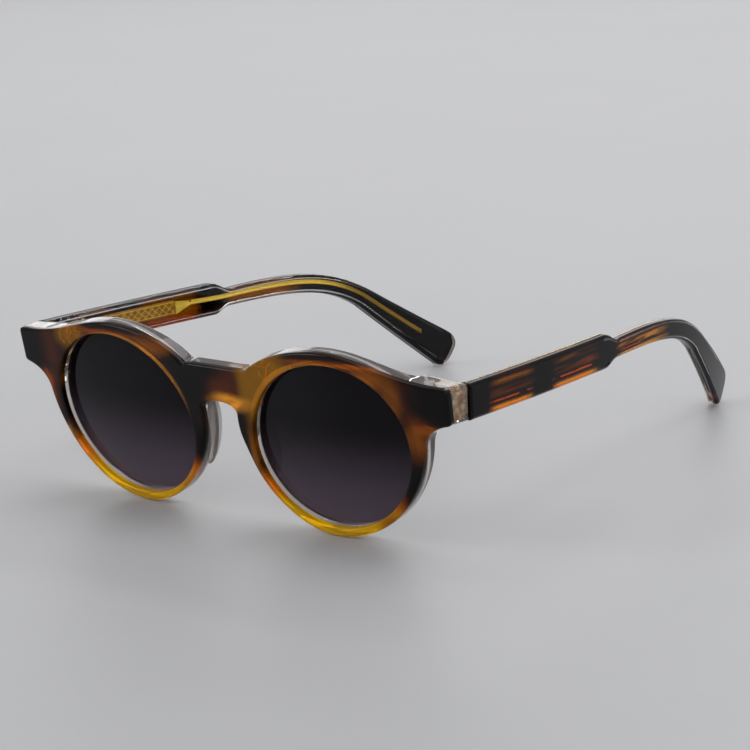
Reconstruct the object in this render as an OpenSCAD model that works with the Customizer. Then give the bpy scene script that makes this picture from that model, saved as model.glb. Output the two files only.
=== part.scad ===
// Round sunglasses with a laminated front, tinted lenses and wire-core temples on five-barrel hinges.
// X runs across the face with the wearer's left at +X, Y runs from the front to the temple tips, Z is up.
// The glasses are drawn open, as they rest on a table on their rim bottoms and temple tips.

/* [Lenses] */
// Width of each lens opening
lens_w = 48; // [46:0.5:50]
// Height of each lens opening
lens_h = 43.2; // [41.5:0.1:45]
// Lean of the round shape towards the temple, as a share of its radius
lens_slant = 0.07; // [0:0.01:0.1]
// Thickness of a lens
lens_t = 1.9; // [1.6:0.1:2.1]
// Radius of the front surface of a lens
lens_r = 132; // [110:1:200]
// Depth of the lens edge behind the face of the front
lens_set_back = 2.6; // [2.3:0.05:2.75]
// Depth of the groove that holds the lens
groove_depth = 0.5; // [0.4:0.05:0.8]

/* [Front] */
// Gap between the two lens openings
bridge_w = 20.4; // [19:0.1:22]
// Height of the bridge bar
bridge_h = 9.5; // [8:0.1:11]
// Top of the bridge above the lens centre
bridge_rise = 17.5; // [16.5:0.1:18]
// Length of the straight top of the bridge
bridge_flat = 17.2; // [15:0.1:18]
// Rim width below the lens
rim_bottom = 2.4; // [2:0.1:3]
// Rim width above the lens
rim_top = 3.1; // [2.6:0.1:4]
// Rim width on the temple side
rim_side = 4.2; // [3.6:0.1:5]
// Rim width on the nose side
rim_nose = 4.4; // [3.8:0.1:5]
// Thickness of the patterned face layer
face_t = 1.7; // [1.3:0.05:1.9]
// Thickness of the whole front at the rims
front_t = 5.2; // [5:0.1:6]
// Radius of the bend of the front round the face
front_bend_r = 700; // [500:10:900]
// Forward lean of the top of the front, in degrees
front_lean = 8.15; // [4:0.05:10]

/* [Endpieces] */
// Reach of an endpiece beyond the rim
end_reach = 8.8; // [8.5:0.1:11]
// Top of the endpiece above the lens centre
end_rise = 18.65; // [18:0.05:19.2]
// Height of the endpiece
end_h = 9.25; // [8.8:0.05:10]
// Depth of the endpiece from its face to its back
end_depth = 8.4; // [7.5:0.1:10]
// Outward splay of the endpiece side towards the back
end_splay = 1.1; // [0.5:0.1:1.5]
// Slant of the butt face where the temple closes, in degrees
butt_slant = 14; // [8:1:20]

/* [Nose pads] */
// Length of a nose pad
pad_l = 17; // [14:0.5:19]
// Width of a nose pad
pad_w = 7.4; // [6.5:0.1:9]
// Height of a nose pad behind the rim
pad_proud = 3.5; // [2.5:0.1:4.5]
// Splay of the face of a nose pad, in degrees
pad_splay = 27; // [20:1:32]
// Middle of a nose pad below the lens centre
pad_drop = 2.6; // [1:0.1:4]

/* [Temples] */
// Thickness of a temple
temple_t = 3.6; // [3.4:0.1:4]
// Thickness of the patterned outer layer
temple_face_t = 1.5; // [1.2:0.05:1.6]
// Height of the wide part
temple_h = 9; // [8:0.1:9.6]
// Length of the wide part
temple_wide_l = 60.5; // [54:0.5:66]
// Fall of the wide part along its length
temple_fall = 2.45; // [1.5:0.05:3.5]
// Height of the narrow part
neck_h = 4.8; // [4.2:0.1:5.6]
// Length from the hinge to the ear bend
bend_l = 104; // [98:0.5:110]
// Length of the tip behind the ear bend
tip_run = 37; // [33:0.5:41]
// Drop of the tip below the hinge
tip_drop = 38.15; // [34:0.05:42]
// Inward lean of the temple at the hinge, in degrees
temple_lean = 1.5; // [0:0.1:2.5]
// Radius of the long inward bow
temple_bow_r = 830; // [650:10:1200]
// Radius of the further inward bow of the tip
tip_bow_r = 480; // [300:10:900]
// Length from the hinge to the start of the tip bow
tip_bow_start = 94; // [88:1:100]
// Slant of the bow, which keeps the two edges of the falling tip in line, in degrees
bow_slant = 20; // [0:1:30]

/* [Core wires] */
// Height of the wide plate at the front of the core wire
plate_h = 5.2; // [4:0.1:6]
// Length of that plate
plate_l = 47; // [40:0.5:50]
// Thickness of that plate
plate_t = 0.8; // [0.6:0.05:0.9]
// Width of the narrow wire
wire_w = 1.2; // [1:0.05:1.5]
// Depth of the core behind the patterned layer
core_inset = 0.3; // [0.25:0.05:0.35]
// Length of the tip that the wire leaves free
wire_stop = 10; // [8:0.5:18]

/* [Hinges] */
// Distance from the side of the front in to the hinge axis
hinge_inset = 4.8; // [4.6:0.05:5.2]
// Height of the five barrels together
hinge_h = 6; // [5:0.1:7]
// Outer radius of a barrel
barrel_r = 1.4; // [1.25:0.05:1.5]
// Radius of the hinge screw
screw_r = 0.6; // [0.5:0.05:0.7]
// Radius of the screw head
screw_head_r = 0.95; // [0.85:0.05:1]
// Thickness of the leaf set into the endpiece
front_leaf_t = 1; // [0.8:0.05:1.3]
// Length of that leaf
front_leaf_l = 5.6; // [5:0.1:6]
// Depth of the toothed anchor behind that leaf
anchor_depth = 2.4; // [1.5:0.1:2.8]
// Thickness of the leaf set into the temple
temple_leaf_t = 0.8; // [0.7:0.05:0.85]
// Length of that leaf
temple_leaf_l = 12.5; // [9:0.5:16]

/* [Fits] */
// Radial clearance of the screw in the barrels
pin_clearance = 0.05; // [0.03:0.01:0.08]
// Gap between two barrels
barrel_gap = 0.1; // [0.08:0.01:0.2]
// Gap round a set-in leaf, a core wire or a lens edge
seat_gap = 0.05; // [0.03:0.01:0.08]
// Thickness of the cement between two layers
cement = 0.02; // [0.01:0.01:0.05]
// Gap between the temple end and the endpiece
butt_gap = 0.15; // [0.1:0.05:0.3]

/* [Hidden] */

tortoise = [0.33, 0.15, 0.05];
crystal = [0.80, 0.79, 0.76];
smoke = [0.20, 0.17, 0.22];
gold = [0.75, 0.60, 0.32];

left = 1;
right = -1;
curve_steps = 14;
bend_facets = 2000;
round_facets = 48;

lens_x = bridge_w / 2 + lens_w / 2;
lens_z = rim_bottom + lens_h / 2;
rim_x = lens_x + lens_w / 2 + rim_side;
half_w = rim_x + end_reach;
nose_x = lens_x - lens_w / 2 - rim_nose;
crest_z = lens_z + lens_h / 2 + rim_top;
bridge_z = lens_z + bridge_rise;
end_z = lens_z + end_rise;
side_start_z = lens_z + 3;
nose_top_z = lens_z + 5.6;

hinge_x = half_w - hinge_inset;
hinge_z = face_z(half_w, end_z - end_h / 2);
end_back_y = face_y(hinge_x, hinge_z) + end_depth;
hinge_y = end_back_y + butt_gap + barrel_r;
temple_x = half_w + end_splay;
// The butt face of the endpiece reaches in past the inner face of the temple by this
butt_edge = 0.3;
butt_x = temple_x - temple_t - butt_edge;
barrel_h = (hinge_h - 4 * barrel_gap) / 5;
bore_r = screw_r + pin_clearance;
head_h = 0.4;
// The anchor is lower and narrower than the leaf that it carries
anchor_h = 4;
anchor_inset = 0.6;
// The leaf in the temple is lower than the stack of barrels, and starts behind the butt
temple_leaf_h = hinge_h - 0.8;
temple_leaf_start = 0.5;
// The wire is thicker than its plate by this on each side
wire_swell = 0.1;
plate_depth = temple_face_t + core_inset;
// The wide part steps down to the narrow part over this length
neck_run = 6;
neck_step = 2.65;
neck_s = temple_wide_l + neck_run;
neck_top = temple_h / 2 - temple_fall - neck_step;
neck_bottom = neck_top - neck_h;
core_stop_s = bend_l + tip_run - wire_stop;

// The object's origin is under its middle, on the table
mid_y = (end_back_y + bend_l + tip_run + 3.9 - 0.145 * crest_z + 0.5) / 2;

// The bent and leaning face of the front: how far back it is, and how high a point of its outline is
function face_y(x, z) = x * x / (2 * front_bend_r) - z * tan(front_lean);
function face_z(x, v) = v * cos(front_lean) + x * x / (2 * front_bend_r) * sin(front_lean);
function bezier(p, t) = pow(1 - t, 3) * p[0] + 3 * pow(1 - t, 2) * t * p[1]
    + 3 * (1 - t) * t * t * p[2] + pow(t, 3) * p[3];
// Points of a curve without its last point, so that curves can follow each other
function curve(p, steps = curve_steps) = [for (i = [0:steps - 1]) bezier(p, i / steps)];
function mirrored(points) = [for (i = [len(points) - 1:-1:0]) [-points[i].x, points[i].y]];

// The outer edge of the front on the wearer's left, from the top of the bridge round to its arch
function bridge_edge() = [[bridge_flat / 2, bridge_z]];
function crest_edge() = curve([
    [bridge_flat / 2 + 1.2, bridge_z - 0.7],
    [bridge_flat / 2 + 6.4, bridge_z + 4],
    [lens_x - 10.2, crest_z - 0.1],
    [lens_x + 0.3, crest_z]
]);
function brow_edge() = curve([
    [lens_x + 0.3, crest_z],
    [lens_x + 11.8, crest_z + 0.1],
    [half_w - 17.2, end_z + 0.3],
    [half_w, end_z]
]);
function end_edge() = curve([
    [half_w - 0.2, end_z - end_h],
    [half_w - 4.8, end_z - end_h - 1],
    [rim_x + 1, end_z - end_h - 2.6],
    [rim_x, side_start_z]
]);
function side_edge() = curve([
    [rim_x, side_start_z],
    [rim_x - 1.9, side_start_z / 2],
    [lens_x + 14.5, 0],
    [lens_x - 2.2, 0]
], curve_steps + 6);
function nose_edge() = curve([
    [lens_x - 2.2, 0],
    [lens_x - 15.7, 0],
    [nose_x - 1.2, nose_top_z / 2],
    [nose_x, nose_top_z]
], curve_steps + 6);
function arch_edge() = curve([
    [nose_x, nose_top_z],
    [nose_x - 0.2, bridge_z - bridge_h - 0.8],
    [nose_x / 2, bridge_z - bridge_h],
    [0.01, bridge_z - bridge_h]
], 8);
front_edge = concat(bridge_edge(), crest_edge(), brow_edge(), [[half_w, end_z]], end_edge(),
    side_edge(), nose_edge(), arch_edge());

// A round lens outline that leans towards the temple, grown by a margin
function lens_edge(grow = 0) = [
    for (a = [0:5:355])
        let (k = sqrt((1 - lens_slant * lens_slant) / (1 - lens_slant * sin(2 * a))))
            [lens_x + (lens_w / 2 + grow) * k * cos(a), lens_z + (lens_h / 2 + grow) * k * sin(a)]
];

// Where the outer face of a temple lies, at a length s behind the endpiece
function past(s, start) = max(0, s - start);
function temple_face_x(s) = temple_x - s * tan(temple_lean) - s * s / (2 * temple_bow_r)
    - pow(past(s, tip_bow_start), 2) / (2 * tip_bow_r);
function temple_slope(s) = -tan(temple_lean) - s / temple_bow_r - past(s, tip_bow_start) / tip_bow_r;
// A point at a depth under the outer face of a temple, seen along the slant of the bow
function temple_point(s, depth) =
    let (m = temple_slope(s) / cos(bow_slant), n = sqrt(1 + m * m))
        [temple_face_x(s) - depth / n, s * cos(bow_slant) + depth * m / n];

// The temple seen from its side, as lengths behind the endpiece and heights above the hinge
temple_start = -4;
function temple_middle(s) = -temple_fall * s / temple_wide_l;
function temple_top_edge() = concat(
    [[temple_start, temple_middle(temple_start) + temple_h / 2]],
    curve([
        [temple_wide_l, temple_middle(temple_wide_l) + temple_h / 2],
        [temple_wide_l + 3.4, temple_middle(temple_wide_l) + temple_h / 2 - 0.15],
        [temple_wide_l + 4.4, neck_top + 0.2],
        [neck_s + 1.6, neck_top]
    ]),
    curve([
        [neck_s + 1.6, neck_top],
        [bend_l - 8.7, neck_top - 0.1],
        [bend_l + 3.3, neck_top - 2],
        [bend_l + 18, neck_top - 12.8]
    ], curve_steps + 4)
);
function tip_edge() =
    let (s = bend_l + tip_run, z = -tip_drop) concat(
        curve([[s + 1.8, z + 10.3], [s + 4.6, z + 8.4], [s + 4.6, z + 6.1], [s + 3.2, z + 4.3]], 6),
        curve([[s + 1.2, z + 1.7], [s + 0.3, z + 0.5], [s - 0.4, z], [s - 1.2, z]], 5),
        curve([[s - 1.2, z], [s - 2, z], [s - 2.7, z + 0.8], [s - 3.5, z + 1.7]], 5)
    );
function temple_bottom_edge() = concat(
    curve([
        [bend_l + 10.5, neck_bottom - 9.9],
        [bend_l - 0.7, neck_bottom - 1.3],
        [neck_s + 22, neck_bottom - 0.7],
        [neck_s - 0.2, neck_bottom]
    ], curve_steps + 4),
    curve([
        [neck_s - 0.2, neck_bottom],
        [temple_wide_l + 3.2, neck_bottom - 0.1],
        [temple_wide_l + 3, temple_middle(temple_wide_l) - temple_h / 2 - 0.1],
        [temple_wide_l + 0.3, temple_middle(temple_wide_l) - temple_h / 2]
    ]),
    [[temple_start, temple_middle(temple_start) - temple_h / 2]]
);
temple_edge = concat(temple_top_edge(), tip_edge(), temple_bottom_edge());

// The middle line of the core wire, seen from the side
wire_line = concat(
    [[plate_l + 4, temple_middle(plate_l + 4)], [neck_s - 3, (neck_top + neck_bottom) / 2 + 0.1]],
    curve([
        [neck_s, (neck_top + neck_bottom) / 2],
        [bend_l - 12, neck_top - 2.9],
        [bend_l + 1.3, neck_top - 4.1],
        [bend_l + 13.2, neck_top - 13]
    ]),
    [[bend_l + 13.2, neck_top - 13],
     [core_stop_s, neck_top - 13 - (core_stop_s - bend_l - 13.2) * 0.8]]
);
function unit(v) = v / norm(v);
function line_normal(line, i) =
    let (a = line[max(0, i - 1)], b = line[min(len(line) - 1, i + 1)], d = unit(b - a)) [-d.y, d.x];
function ribbon(line, w) = concat(
    [for (i = [0:len(line) - 1]) line[i] + line_normal(line, i) * w / 2],
    [for (i = [len(line) - 1:-1:0]) line[i] - line_normal(line, i) * w / 2]
);

module on_side(side) {
    mirror([side < 0 ? 1 : 0, 0, 0]) children();
}

module front_frame() {
    rotate([front_lean, 0, 0]) children();
}

// An outline drawn on the face of the front, carried back through it
module front_prism() {
    front_frame() translate([0, 16, 0]) rotate([90, 0, 0]) linear_extrude(20) children();
}

// Everything behind a surface that follows the bend of the front at a depth
module behind(depth) {
    front_frame() translate([0, front_bend_r, -10])
        cylinder(r = front_bend_r - depth, h = crest_z + 20, $fn = bend_facets);
}

module front_slab(depth, thickness) {
    difference() {
        behind(depth);
        behind(depth + thickness);
    }
}

module lens_openings() {
    for (side = [left, right]) on_side(side) front_prism() polygon(lens_edge());
}

// A shell with the curve of a lens, thickened on both sides by a gap
module lens_shell(gap) {
    sag = lens_r - sqrt(lens_r * lens_r - lens_h * lens_h / 4);
    apex = lens_set_back - sag;
    front_frame() translate([0, front_bend_r, lens_z]) rotate([0, 0, asin(lens_x / front_bend_r)])
        translate([0, apex + lens_r - front_bend_r, 0]) difference() {
            sphere(r = lens_r + gap, $fn = 360);
            sphere(r = lens_r - lens_t - gap, $fn = 360);
        }
}

module lens_blank(gap) {
    intersection() {
        front_prism() polygon(lens_edge(groove_depth + gap));
        lens_shell(gap);
    }
}

module lens(side) {
    color(smoke, 0.7) on_side(side) lens_blank(0);
}

module front_face_layer() {
    color(tortoise) difference() {
        intersection() {
            front_prism() polygon(concat(front_edge, mirrored(front_edge)));
            front_slab(0, face_t);
        }
        lens_openings();
    }
}

// The height of the top of the endpiece, which runs level towards the back
function end_top(x) = face_z(x, end_z + (half_w - x) * 0.1);

// The deeper block behind the corner of the front, where the hinge sits
module endpiece_block() {
    ramp_x = rim_x - 4;
    back_x = rim_x - 0.4;
    rim_back = face_y(ramp_x, hinge_z) + front_t;
    bottom = hinge_z - (end_h / 2) * cos(front_lean);
    intersection() {
        translate([0, 0, bottom - 1]) linear_extrude(end_h + 6) polygon(concat(
            [[ramp_x, -20]],
            curve([[ramp_x, rim_back - 0.5], [ramp_x + 1.6, rim_back], [back_x - 2, end_back_y],
                [back_x, end_back_y]], 8),
            [[back_x, end_back_y], [butt_x, end_back_y],
             [temple_x, end_back_y - (temple_x - butt_x) * tan(butt_slant)],
             [half_w, face_y(half_w, hinge_z) + face_t], [half_w, -20]]
        ));
        translate([0, 40, 0]) rotate([90, 0, 0]) linear_extrude(80) polygon([
            [ramp_x, bottom], [temple_x, bottom], [temple_x, end_top(temple_x)], [ramp_x, end_top(ramp_x)]
        ]);
        behind(face_t + cement);
    }
}

// What is trimmed off above the level top of an endpiece
module above_endpiece() {
    start = rim_x - 2;
    translate([0, 40, 0]) rotate([90, 0, 0]) linear_extrude(80) polygon([
        [start, end_top(start)], [temple_x + 2, end_top(temple_x + 2)], [temple_x + 2, crest_z + 10],
        [start, crest_z + 10]
    ]);
}

module front_back_layer() {
    depth = face_t + cement;
    color(crystal, 0.6) difference() {
        union() {
            intersection() {
                front_prism() polygon(concat(front_edge, mirrored(front_edge)));
                front_slab(depth, front_t - depth);
            }
            for (side = [left, right]) on_side(side) endpiece_block();
        }
        lens_openings();
        for (side = [left, right]) on_side(side) {
            lens_blank(seat_gap);
            front_leaf_seat(seat_gap);
            above_endpiece();
        }
    }
}

// An almond outline with a given length and width, upright on its middle
module almond(l, w) {
    r = (l * l / 4 + w * w / 4) / w;
    intersection_for (end = [-1, 1]) translate([end * (r - w / 2), 0]) circle(r = r, $fn = 180);
}

// A clear pad cemented to the back of the rim beside the nose
module nose_pad(side) {
    rim_back = front_t + cement;
    middle_x = nose_x + pad_w / 2 - 0.9;
    middle_z = lens_z - pad_drop;
    dome_r = (pad_l * pad_l / 4 + pad_proud * pad_proud) / (2 * pad_proud);
    root_x = nose_x - 0.4;
    color(crystal, 0.7) on_side(side) difference() {
        intersection() {
            front_prism() polygon(front_edge);
            front_prism() translate([middle_x, middle_z]) rotate([0, 0, 14]) almond(pad_l, pad_w);
            front_frame() translate([-20, rim_back + pad_proud - dome_r, middle_z]) rotate([0, 90, 0])
                cylinder(r = dome_r, h = 60, $fn = 180);
            front_frame() translate([root_x, front_t, 0]) rotate([0, 0, -pad_splay])
                translate([0, -20, -10]) cube([40, 60, crest_z + 20]);
            // The flat seat, square to the bend of the rim at the middle of the pad
            front_frame() translate([0, front_bend_r, 0]) rotate([0, 0, asin(middle_x / front_bend_r)])
                translate([-30, rim_back - front_bend_r, -10]) cube([60, 40, crest_z + 20]);
        }
        front_prism() polygon(lens_edge());
    }
}

// The toothed anchor and leaf that are sunk into an endpiece, grown by a gap
module front_leaf_seat(gap) {
    leaf_x = butt_x - 0.2 - front_leaf_l;
    translate([leaf_x - gap, end_back_y - front_leaf_t - gap, hinge_z - hinge_h / 2 - gap])
        cube([front_leaf_l + 2 * gap, front_leaf_t + 2 * gap, hinge_h + 2 * gap]);
    translate([leaf_x + anchor_inset - gap, end_back_y - front_leaf_t - anchor_depth - gap,
        hinge_z - anchor_h / 2 - gap])
        cube([front_leaf_l - 2 * anchor_inset + 2 * gap, anchor_depth + front_leaf_t / 2, anchor_h + 2 * gap]);
}

function barrel_z(i) = hinge_z - hinge_h / 2 + i * (barrel_h + barrel_gap);

module barrel(i) {
    translate([hinge_x, hinge_y, barrel_z(i)]) cylinder(r = barrel_r, h = barrel_h, $fn = round_facets);
}

module screw_bore() {
    translate([hinge_x, hinge_y, barrel_z(0) - 1])
        cylinder(r = bore_r, h = hinge_h + 2, $fn = round_facets);
}

// The three-barrel leaf of the front, with teeth that key it into the plastic
module front_hinge_leaf(side) {
    tooth = 0.4;
    tooth_pitch = 0.9;
    root = 0.2;
    color(gold) on_side(side) difference() {
        union() {
            front_leaf_seat(0);
            for (i = [0, 2, 4]) {
                barrel(i);
                translate([hinge_x - barrel_r, end_back_y - root, barrel_z(i)])
                    cube([2 * barrel_r, hinge_y - end_back_y + root, barrel_h]);
            }
        }
        screw_bore();
        translate([hinge_x, hinge_y, barrel_z(4) + barrel_h - head_h])
            cylinder(r = screw_head_r + pin_clearance, h = 1, $fn = round_facets);
        for (i = [1, 2], end = [-1, 1])
            translate([hinge_x - 2 * front_leaf_l, end_back_y - front_leaf_t - i * tooth_pitch,
                hinge_z + end * anchor_h / 2 - tooth / 2])
                cube([4 * front_leaf_l, tooth, tooth]);
    }
}

// The screw that joins the two leaves, with a slotted head
module hinge_screw(side) {
    slot = 0.25;
    top = barrel_z(4) + barrel_h;
    color(gold) on_side(side) difference() {
        union() {
            translate([hinge_x, hinge_y, barrel_z(0) + 0.1])
                cylinder(r = screw_r, h = top - barrel_z(0) - head_h / 2 - 0.1, $fn = round_facets);
            translate([hinge_x, hinge_y, top - head_h + pin_clearance])
                cylinder(r = screw_head_r, h = head_h - pin_clearance, $fn = round_facets);
        }
        translate([hinge_x - 2, hinge_y - slot / 2, top - slot]) cube([4, slot, 1]);
    }
}

// A strip between two depths under the outer face of a temple
module temple_strip(depth_a, depth_b) {
    steps = 44;
    first = temple_start - 6;
    last = bend_l + tip_run + 26;
    lengths = [for (i = [0:steps]) first + (last - first) * i / steps];
    rotate([-bow_slant, 0, 0]) linear_extrude(200, center = true) polygon(concat(
        [for (s = lengths) temple_point(s, depth_a)],
        [for (i = [steps:-1:0]) temple_point(lengths[i], depth_b)]
    ));
}

// An outline drawn on the side of a temple, cut out of a strip between two depths
module temple_cut(depth_a, depth_b) {
    translate([0, end_back_y, hinge_z]) intersection() {
        temple_strip(depth_a, depth_b);
        rotate([90, 0, 90]) linear_extrude(half_w + 20) children();
    }
}

module behind_butt() {
    translate([butt_x, end_back_y, hinge_z]) rotate([0, 0, -butt_slant])
        translate([-80, butt_gap, -60]) cube([100, 220, 120]);
}

module plate_outline(grow) {
    start = -1;
    tip = plate_l + 5.5;
    h = plate_h / 2 + grow;
    polygon([
        [start, temple_middle(start) + h], [plate_l, temple_middle(plate_l) + h],
        [tip + grow, temple_middle(tip) + wire_w / 2 + grow], [tip + grow, temple_middle(tip) - wire_w / 2 - grow],
        [plate_l, temple_middle(plate_l) - h], [start, temple_middle(start) - h]
    ]);
}

// The core wire with its wide front plate, grown by a gap
module core_blank(gap) {
    temple_cut(plate_depth - gap, plate_depth + plate_t + gap) plate_outline(gap);
    temple_cut(plate_depth - wire_swell - gap, plate_depth + plate_t + wire_swell + gap)
        polygon(ribbon(wire_line, wire_w + 2 * gap));
}

module core_wire(side) {
    start_gap = 1.2;
    color(gold) on_side(side) intersection() {
        core_blank(0);
        translate([0, start_gap, 0]) behind_butt();
    }
}

module temple_leaf_outline(grow) {
    translate([temple_leaf_start - grow, -temple_leaf_h / 2 - grow])
        square([temple_leaf_l + 2 * grow, temple_leaf_h + 2 * grow]);
}

module temple_outer_layer(side) {
    color(tortoise) on_side(side) intersection() {
        temple_cut(0, temple_face_t - cement) polygon(temple_edge);
        behind_butt();
    }
}

module temple_inner_layer(side) {
    color(crystal, 0.6) on_side(side) difference() {
        intersection() {
            temple_cut(temple_face_t, temple_t) polygon(temple_edge);
            behind_butt();
        }
        core_blank(seat_gap);
        temple_cut(temple_t - temple_leaf_t - seat_gap, temple_t + 1) temple_leaf_outline(seat_gap);
    }
}

// The two-barrel leaf set into the inner face of a temple
module temple_hinge_leaf(side) {
    web_y = hinge_y - 0.9;
    notch_r = 0.5;
    notch_pitch = temple_leaf_l / 3.4;
    color(gold) on_side(side) difference() {
        union() {
            temple_cut(temple_t - temple_leaf_t, temple_t) difference() {
                temple_leaf_outline(0);
                for (i = [1:3], end = [-1, 1])
                    translate([temple_leaf_start + i * notch_pitch, end * temple_leaf_h / 2])
                        circle(r = notch_r, $fn = round_facets);
            }
            for (i = [1, 3]) {
                barrel(i);
                translate([hinge_x, web_y, barrel_z(i)])
                    cube([temple_x - temple_t - hinge_x + 0.5, hinge_y + barrel_r - web_y, barrel_h]);
            }
        }
        screw_bore();
    }
}

module placed() {
    translate([0, -mid_y, 0]) children();
}

placed() front_face_layer();
placed() front_back_layer();
placed() lens(left);  // left_lens
placed() lens(right);  // right_lens
placed() nose_pad(left);  // left_nose_pad
placed() nose_pad(right);  // right_nose_pad
placed() front_hinge_leaf(left);  // left_front_hinge_leaf
placed() front_hinge_leaf(right);  // right_front_hinge_leaf
placed() hinge_screw(left);  // left_hinge_screw
placed() hinge_screw(right);  // right_hinge_screw
placed() temple_hinge_leaf(left);  // left_temple_hinge_leaf
placed() temple_hinge_leaf(right);  // right_temple_hinge_leaf
placed() temple_outer_layer(left);  // left_temple_outer_layer
placed() temple_outer_layer(right);  // right_temple_outer_layer
placed() temple_inner_layer(left);  // left_temple_inner_layer
placed() temple_inner_layer(right);  // right_temple_inner_layer
placed() core_wire(left);  // left_core_wire
placed() core_wire(right);  // right_core_wire
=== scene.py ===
# %% [markdown]
# # Round sunglasses
# The real glasses are cut from cellulose acetate sheet. A thin tortoise sheet is cemented to a thick
# clear one, and the rims, the bridge and the temples are milled from that laminate and tumbled until
# every edge is round and glossy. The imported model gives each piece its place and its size.

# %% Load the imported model
import math

import bmesh
import bpy
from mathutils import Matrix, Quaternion, Vector, noise
from mathutils.geometry import interpolate_bezier


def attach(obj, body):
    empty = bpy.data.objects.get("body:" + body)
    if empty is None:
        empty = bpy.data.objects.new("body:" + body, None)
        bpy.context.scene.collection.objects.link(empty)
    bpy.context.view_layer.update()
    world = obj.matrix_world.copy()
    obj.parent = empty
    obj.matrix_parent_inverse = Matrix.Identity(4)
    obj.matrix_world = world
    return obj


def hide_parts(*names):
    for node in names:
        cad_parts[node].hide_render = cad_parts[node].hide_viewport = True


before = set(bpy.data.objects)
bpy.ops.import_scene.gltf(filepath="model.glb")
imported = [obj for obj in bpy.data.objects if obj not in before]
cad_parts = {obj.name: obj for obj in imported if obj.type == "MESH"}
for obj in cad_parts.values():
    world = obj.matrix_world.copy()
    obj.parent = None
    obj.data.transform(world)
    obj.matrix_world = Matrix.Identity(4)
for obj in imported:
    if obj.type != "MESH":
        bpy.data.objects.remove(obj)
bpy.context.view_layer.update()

MM = 0.001


def add_object(name, data):
    """A new object in the scene that shows a camera, a mesh or a lamp"""
    thing = bpy.data.objects.new(name, data)
    bpy.context.scene.collection.objects.link(thing)
    return thing


# %% [markdown]
# ## The camera
# The photograph was taken from the wearer's left, a little above the table, with a long lens. A long
# lens far away flattens the glasses as the photograph does, where a short one close by would make the
# near rim too large. The place and the roll of the camera come from matching the two rims, the hinges
# and the temple tips.

# %% Put the camera where the photograph was taken
CAMERA_AZIMUTH = math.radians(39.88)
CAMERA_ELEVATION = math.radians(14.56)
CAMERA_ROLL = math.radians(-3.41)
CAMERA_PLACE = Vector((485.08, -595.39, 220.39)) * MM
FOCAL_IN_PIXELS = 2949.08
PHOTO_WIDTH = 750

away = Vector((
    math.sin(CAMERA_AZIMUTH) * math.cos(CAMERA_ELEVATION),
    -math.cos(CAMERA_AZIMUTH) * math.cos(CAMERA_ELEVATION),
    math.sin(CAMERA_ELEVATION),
))
camera_data = bpy.data.cameras.new("photo_camera")
camera_data.sensor_width = 36
camera_data.sensor_fit = "HORIZONTAL"
camera_data.lens = FOCAL_IN_PIXELS / PHOTO_WIDTH * camera_data.sensor_width
camera_data.clip_end = 20
camera = add_object("photo_camera", camera_data)
camera.rotation_mode = "QUATERNION"
camera.rotation_quaternion = Quaternion(away, CAMERA_ROLL) @ away.to_track_quat("Z", "Y")
camera.location = CAMERA_PLACE
bpy.context.scene.camera = camera
print("camera lens in millimetres", round(camera_data.lens, 2))

# %% [markdown]
# ## Materials: how a tortoise sheet is coloured
# Tortoise acetate is made from clear, amber and dark chips that are pressed into one block and sliced.
# The colour goes right through the sheet, so it is a see-through material and not a print. A Principled
# shader with part of its light transmitted gives that depth. The pattern reads Object coordinates, so
# it runs on through the thickness as it does in the real sheet.

# %% Small helpers that wire up nodes
# A mix node keeps its colour sockets behind those for numbers and vectors
MIX_UNDER = 6
MIX_OVER = 7
MIX_RESULT = 2


def fill(tree, node, inputs):
    """Give the named inputs of a node a plain value each, or a link to another node's output"""
    for name, value in inputs.items():
        if isinstance(value, bpy.types.NodeSocket):
            tree.links.new(value, node.inputs[name])
        elif node.inputs[name].type == "RGBA":
            node.inputs[name].default_value = (*value, 1.0)
        else:
            node.inputs[name].default_value = value


def add_node(tree, kind, output, inputs, **settings):
    """One output of a new node, with the node's inputs filled and its settings made"""
    node = tree.nodes.new("ShaderNode" + kind)
    for key, value in settings.items():
        setattr(node, key, value)
    fill(tree, node, inputs)
    return node.outputs[output]


def new_material(name):
    """An empty material with its Principled shader"""
    material = bpy.data.materials.new(name)
    material.use_nodes = True
    return material, material.node_tree, material.node_tree.nodes["Principled BSDF"]


def math_node(tree, operation, first, second=0.0):
    """One sum on two values, each a number or a socket"""
    return add_node(tree, "Math", "Value", {0: first, 1: second}, operation=operation)


def times(tree, *shares):
    """The product of some shares"""
    product = shares[0]
    for share in shares[1:]:
        product = math_node(tree, "MULTIPLY", product, share)
    return product


def off_by(tree, value, middle):
    """How far a value is from a middle, either way"""
    return math_node(tree, "ABSOLUTE", math_node(tree, "SUBTRACT", value, middle))


def vector_node(tree, operation, first, second=(0, 0, 0)):
    """One sum on two vectors, each three numbers or a socket"""
    output = "Value" if operation == "LENGTH" else "Vector"
    return add_node(tree, "VectorMath", output, {0: first, 1: second}, operation=operation)


def blend_colour(tree, share, under, over):
    """A colour that goes from under to over as share goes from 0 to 1"""
    inputs = {0: share, MIX_UNDER: under, MIX_OVER: over}
    return add_node(tree, "Mix", MIX_RESULT, inputs, data_type="RGBA", clamp_factor=True)


def paint(tree, colour, coats):
    """Lay coats over a colour in order, each a share and the coat's own colour"""
    for share, coat in coats:
        colour = blend_colour(tree, share, colour, coat)
    return colour


def object_place(tree, along=1.0):
    """Object coordinates in metres, drawn out along the temples where along is under 1"""
    own = add_node(tree, "TexCoord", "Object", {})
    return add_node(tree, "Mapping", "Vector", {"Vector": own, "Scale": (1, along, 1)})


def coordinate(tree, place, axis):
    """One of the three coordinates of a place"""
    return add_node(tree, "SeparateXYZ", axis, {0: place})


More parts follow.
